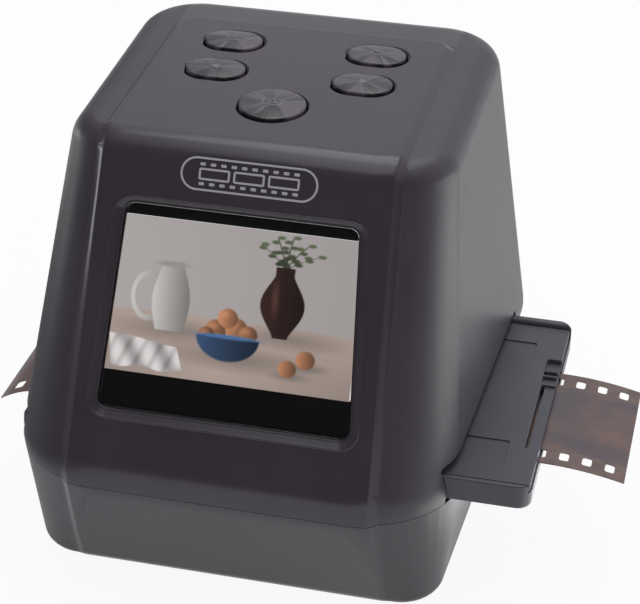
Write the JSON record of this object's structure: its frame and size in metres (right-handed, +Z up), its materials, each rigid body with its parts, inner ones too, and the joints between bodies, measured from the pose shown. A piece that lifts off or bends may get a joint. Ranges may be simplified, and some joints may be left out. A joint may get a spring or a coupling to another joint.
{
  "type": "film negative scanner",
  "caption": "Compact desktop scanner for film strips, with a sloped screen, push keys on top, an inner camera over a backlight and a tray that slides through the sides.",
  "frame": {"origin": "middle of the flat underside of the base housing; the rubber feet stand 0.8 mm below it", "axes": "+Z up, -Y towards the user, who faces the sloped screen, +X towards the side the tray is drawn out of"},
  "size_m": [0.135, 0.1016, 0.0984],
  "materials": {
    "housing": "satin moulded",
    "window": "polished",
    "display": "lit panel",
    "sheet_steel": "stamped",
    "screw_steel": "turned",
    "flex_cable": "flat flexible",
    "circuit_board": "lacquered",
    "chip": "moulded",
    "capacitor": "can",
    "inner_plastic": "moulded",
    "lens_glass": "coated",
    "diffuser": "opal",
    "white_plastic": "moulded",
    "led": "moulded",
    "foot_rubber": "moulded",
    "key": "polished",
    "tray": "satin moulded",
    "film": "translucent"
  },
  "bodies": {
    "housing": {"upper_housing": "housing", "base_housing": "housing", "screen_window": "window", "lcd_panel": "display", "lcd_bracket": "sheet_steel", "lcd_screws": "screw_steel", "lcd_cable": "flex_cable", "main_board": "circuit_board", "processor_chip": "chip", "memory_chips": "chip", "board_capacitors": "capacitor", "main_board_screws": "screw_steel", "card_slot": "sheet_steel", "usb_port": "sheet_steel", "video_port": "chip", "button_board": "circuit_board", "button_board_screws": "screw_steel", "button_cable": "flex_cable", "switch_bases": "chip", "optical_frame": "inner_plastic", "optical_frame_screws": "screw_steel", "lens_barrel": "inner_plastic", "front_lens": "lens_glass", "rear_lens": "lens_glass", "sensor_board": "circuit_board", "image_sensor": "chip", "sensor_screws": "screw_steel", "sensor_cable": "flex_cable", "film_deck": "inner_plastic", "deck_screws": "screw_steel", "tray_spring": "sheet_steel", "diffuser_plate": "diffuser", "light_box": "white_plastic", "led_board": "circuit_board", "leds": "led", "led_cable": "flex_cable", "rubber_feet": "foot_rubber", "case_screws": "screw_steel"},
    "tray": {"tray_base": "tray", "tray_cover": "tray"},
    "film": {"film_strip": "film"},
    "key_back_left": {"key_back_left": "key", "plunger_back_left": "white_plastic"},
    "key_back_right": {"key_back_right": "key", "plunger_back_right": "white_plastic"},
    "key_front_left": {"key_front_left": "key", "plunger_front_left": "white_plastic"},
    "key_front_right": {"key_front_right": "key", "plunger_front_right": "white_plastic"},
    "key_round_middle": {"key_round_middle": "key", "plunger_round_middle": "white_plastic"}
  },
  "joints": [
    {"name": "tray_slide", "type": "slide", "parent": "housing", "child": "tray", "axis": [1, 0, 0], "range_m": [-0.008, 0.085]},
    {"name": "film_slide", "type": "slide", "parent": "tray", "child": "film", "axis": [1, 0, 0], "range_m": [-0.038, 0.038]},
    {"name": "press_back_left", "type": "slide", "parent": "housing", "child": "key_back_left", "axis": [0, 0.0332, -0.9995], "range_m": [0, 0.0006], "stiffness_N_per_m": 500, "springref_m": -0.0004},
    {"name": "press_back_right", "type": "slide", "parent": "housing", "child": "key_back_right", "axis": [0, 0.0332, -0.9995], "range_m": [0, 0.0006], "stiffness_N_per_m": 500, "springref_m": -0.0004},
    {"name": "press_front_left", "type": "slide", "parent": "housing", "child": "key_front_left", "axis": [0, 0.0332, -0.9995], "range_m": [0, 0.0006], "stiffness_N_per_m": 500, "springref_m": -0.0004},
    {"name": "press_front_right", "type": "slide", "parent": "housing", "child": "key_front_right", "axis": [0, 0.0332, -0.9995], "range_m": [0, 0.0006], "stiffness_N_per_m": 500, "springref_m": -0.0004},
    {"name": "press_round_middle", "type": "slide", "parent": "housing", "child": "key_round_middle", "axis": [0, 0.0332, -0.9995], "range_m": [0, 0.0006], "stiffness_N_per_m": 500, "springref_m": -0.0004}
  ]
}
